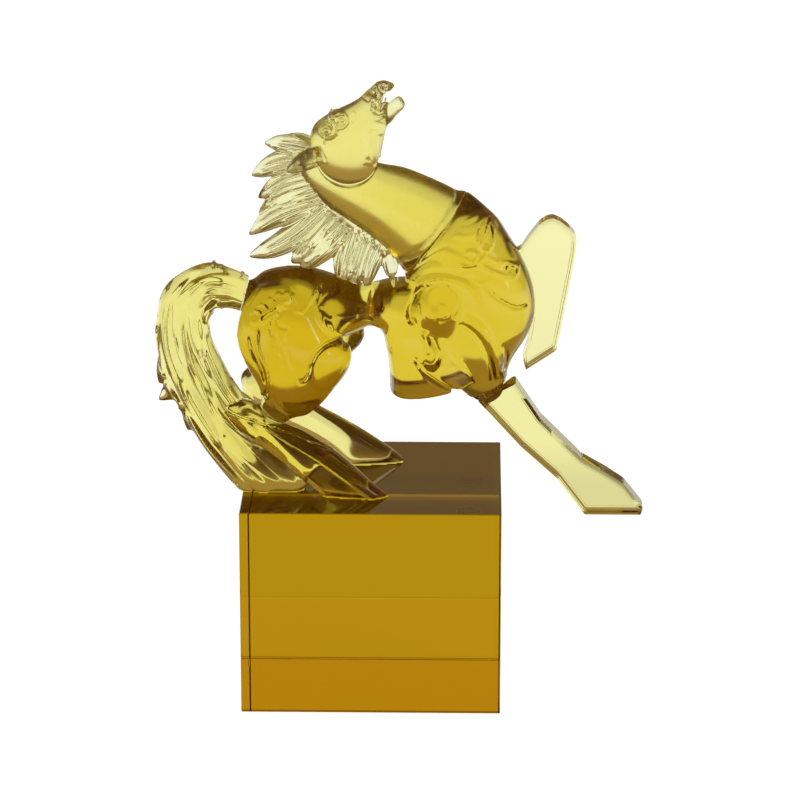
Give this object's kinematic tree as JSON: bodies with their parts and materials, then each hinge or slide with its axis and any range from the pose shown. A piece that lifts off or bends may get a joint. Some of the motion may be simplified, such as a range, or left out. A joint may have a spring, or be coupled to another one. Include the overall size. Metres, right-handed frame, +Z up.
{
  "type": "crystal glass horse figurine",
  "caption": "Amber cast-glass horse, rearing with its head thrown back, bonded to a polished rectangular glass block on clear pads.",
  "frame": {"origin": "centre of the whole object's footprint box, on the surface it stands on (the undersides of the clear pads); the block's own centre is 8.3 mm towards -X because the forelegs reach further out than the tail", "axes": "+X the way the forelegs reach, +Y towards the horse's off side, +Z up"},
  "size_m": [0.1514, 0.072, 0.1932],
  "materials": {
    "block_glass": "polished amber glass, absorption deepens with thickness",
    "body_glass": "polished cast amber glass with carved relief",
    "satin_glass": "satin acid-etched cast amber glass",
    "carved_glass": "clear carved wavy locks, pale because they are thin",
    "leg_glass": "flat polished facets, pale because they are thin",
    "pad_polymer": "clear soft polyurethane",
    "adhesive": "clear ultraviolet-cured adhesive"
  },
  "bodies": {
    "root": {"base_block": "block_glass", "pad_front_left": "pad_polymer", "pad_front_right": "pad_polymer", "pad_rear_left": "pad_polymer", "pad_rear_right": "pad_polymer", "torso": "body_glass", "near_hind_leg": "body_glass", "off_hind_leg": "body_glass", "neck": "satin_glass", "head": "satin_glass", "mane": "carved_glass", "forelock": "carved_glass", "tail": "carved_glass", "near_foreleg": "leg_glass", "off_foreleg": "leg_glass", "bond_neck": "adhesive", "bond_poll": "adhesive", "bond_tail_root": "adhesive", "bond_near_foreleg": "adhesive", "bond_off_foreleg": "adhesive", "bond_near_hock": "adhesive", "bond_off_hock": "adhesive", "bond_near_hoof": "adhesive", "bond_off_hoof": "adhesive", "bond_tail_foot": "adhesive"}
  },
  "joints": []
}
